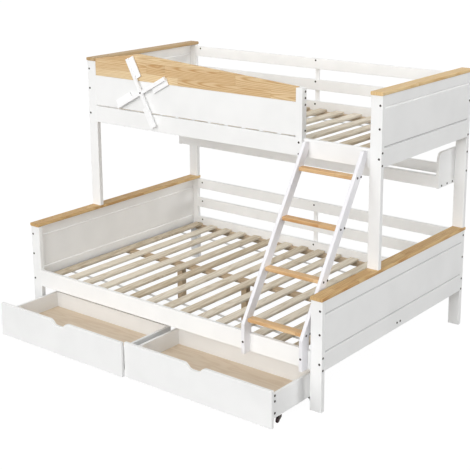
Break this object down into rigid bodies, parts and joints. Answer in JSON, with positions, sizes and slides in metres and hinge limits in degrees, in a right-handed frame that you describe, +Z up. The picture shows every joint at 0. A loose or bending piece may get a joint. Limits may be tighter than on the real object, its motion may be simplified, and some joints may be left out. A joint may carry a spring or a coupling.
{
  "type": "bunk bed with drawers",
  "caption": "White wooden bunk bed, single over double, with leaning ladder, hanging back shelf, turning windmill on the guard board and rolling under-bed drawers.",
  "frame": {"origin": "on the floor, under the middle of the bed's footprint with the drawers as far out as the picture shows", "axes": "+Z up, +X along the bed from the head end to the foot end, -Y towards the ladder and drawers"},
  "size_m": [2.086, 1.7942, 1.577],
  "materials": {
    "white_lacquer": "satin white lacquer on solid wood and board",
    "oiled_wood": "oiled, knotty honey-coloured wood in glued staves",
    "pale_wood": "oiled, pale honey-coloured wood",
    "slat_pine": "planed, untreated pale softwood with white webbing straps",
    "brown_pine": "sawn, untreated brown softwood",
    "plywood": "thin sanded plywood",
    "black_plastic": "black moulded nylon"
  },
  "bodies": {
    "frame": {"lower_head_front_post": "white_lacquer", "lower_head_back_post": "white_lacquer", "lower_head_board": "white_lacquer", "lower_head_cap": "oiled_wood", "lower_foot_front_post": "white_lacquer", "lower_foot_back_post": "white_lacquer", "lower_foot_board": "white_lacquer", "lower_foot_cap": "oiled_wood", "upper_head_front_post": "white_lacquer", "upper_head_back_post": "white_lacquer", "upper_head_board": "white_lacquer", "upper_head_cap": "pale_wood", "upper_foot_front_post": "white_lacquer", "upper_foot_back_post": "white_lacquer", "upper_foot_board": "white_lacquer", "upper_foot_cap": "pale_wood", "lower_front_rail": "white_lacquer", "lower_back_rail": "white_lacquer", "upper_front_rail": "white_lacquer", "upper_back_rail": "white_lacquer", "lower_guard_rail_1": "white_lacquer", "lower_guard_rail_2": "white_lacquer", "upper_guard_rail_1": "white_lacquer", "upper_guard_rail_2": "white_lacquer", "lower_batten": "white_lacquer", "upper_batten": "white_lacquer", "lower_slats": "slat_pine", "upper_slats": "slat_pine", "centre_beam": "brown_pine", "beam_leg_1": "brown_pine", "beam_leg_2": "brown_pine", "beam_leg_3": "brown_pine", "guard_panel": "white_lacquer", "roof_board": "oiled_wood", "guard_post": "white_lacquer", "shelf_tray": "white_lacquer", "shelf_back": "white_lacquer", "shelf_head_end": "white_lacquer", "shelf_foot_end": "white_lacquer", "ladder_left_stringer": "white_lacquer", "ladder_right_stringer": "white_lacquer", "ladder_rung_1": "oiled_wood", "ladder_rung_2": "oiled_wood", "ladder_rung_3": "oiled_wood", "ladder_rung_4": "oiled_wood"},
    "windmill": {"windmill": "white_lacquer"},
    "head_drawer": {"head_drawer_front": "white_lacquer", "head_drawer_box": "white_lacquer", "head_drawer_bottom": "plywood"},
    "head_wheel_1": {"head_drawer_wheel_1": "black_plastic"},
    "head_wheel_2": {"head_drawer_wheel_2": "black_plastic"},
    "head_wheel_3": {"head_drawer_wheel_3": "black_plastic"},
    "head_wheel_4": {"head_drawer_wheel_4": "black_plastic"},
    "foot_drawer": {"foot_drawer_front": "white_lacquer", "foot_drawer_box": "white_lacquer", "foot_drawer_bottom": "plywood"},
    "foot_wheel_1": {"foot_drawer_wheel_1": "black_plastic"},
    "foot_wheel_2": {"foot_drawer_wheel_2": "black_plastic"},
    "foot_wheel_3": {"foot_drawer_wheel_3": "black_plastic"},
    "foot_wheel_4": {"foot_drawer_wheel_4": "black_plastic"}
  },
  "joints": [
    {"name": "windmill_turn", "type": "hinge", "parent": "frame", "child": "windmill", "pos_m": [-0.583, -0.07915, 1.3535], "axis": [0, 1, 0], "continuous": true},
    {"name": "head_drawer_slide", "type": "slide", "parent": "frame", "child": "head_drawer", "axis": [0, -1, 0], "range_m": [-0.32, 0.078]},
    {"name": "head_wheel_1_roll", "type": "hinge", "parent": "head_drawer", "child": "head_wheel_1", "pos_m": [-0.0285, -0.80115, 0.013], "axis": [1, 0, 0], "continuous": true},
    {"name": "head_wheel_2_roll", "type": "hinge", "parent": "head_drawer", "child": "head_wheel_2", "pos_m": [-0.0285, -0.51285, 0.013], "axis": [1, 0, 0], "continuous": true},
    {"name": "head_wheel_3_roll", "type": "hinge", "parent": "head_drawer", "child": "head_wheel_3", "pos_m": [-0.9285, -0.80115, 0.013], "axis": [1, 0, 0], "continuous": true},
    {"name": "head_wheel_4_roll", "type": "hinge", "parent": "head_drawer", "child": "head_wheel_4", "pos_m": [-0.9285, -0.51285, 0.013], "axis": [1, 0, 0], "continuous": true},
    {"name": "foot_drawer_slide", "type": "slide", "parent": "frame", "child": "foot_drawer", "axis": [0, -1, 0], "range_m": [-0.304, 0.094]},
    {"name": "foot_wheel_1_roll", "type": "hinge", "parent": "foot_drawer", "child": "foot_wheel_1", "pos_m": [0.0285, -0.78515, 0.013], "axis": [1, 0, 0], "continuous": true},
    {"name": "foot_wheel_2_roll", "type": "hinge", "parent": "foot_drawer", "child": "foot_wheel_2", "pos_m": [0.0285, -0.49685, 0.013], "axis": [1, 0, 0], "continuous": true},
    {"name": "foot_wheel_3_roll", "type": "hinge", "parent": "foot_drawer", "child": "foot_wheel_3", "pos_m": [0.9285, -0.78515, 0.013], "axis": [1, 0, 0], "continuous": true},
    {"name": "foot_wheel_4_roll", "type": "hinge", "parent": "foot_drawer", "child": "foot_wheel_4", "pos_m": [0.9285, -0.49685, 0.013], "axis": [1, 0, 0], "continuous": true}
  ],
  "couplings": [
    {"joint": "head_wheel_1_roll", "follows": "head_drawer_slide", "rad_per_m": 76.923},
    {"joint": "head_wheel_2_roll", "follows": "head_drawer_slide", "rad_per_m": 76.923},
    {"joint": "head_wheel_3_roll", "follows": "head_drawer_slide", "rad_per_m": 76.923},
    {"joint": "head_wheel_4_roll", "follows": "head_drawer_slide", "rad_per_m": 76.923},
    {"joint": "foot_wheel_1_roll", "follows": "foot_drawer_slide", "rad_per_m": 76.923},
    {"joint": "foot_wheel_2_roll", "follows": "foot_drawer_slide", "rad_per_m": 76.923},
    {"joint": "foot_wheel_3_roll", "follows": "foot_drawer_slide", "rad_per_m": 76.923},
    {"joint": "foot_wheel_4_roll", "follows": "foot_drawer_slide", "rad_per_m": 76.923}
  ]
}
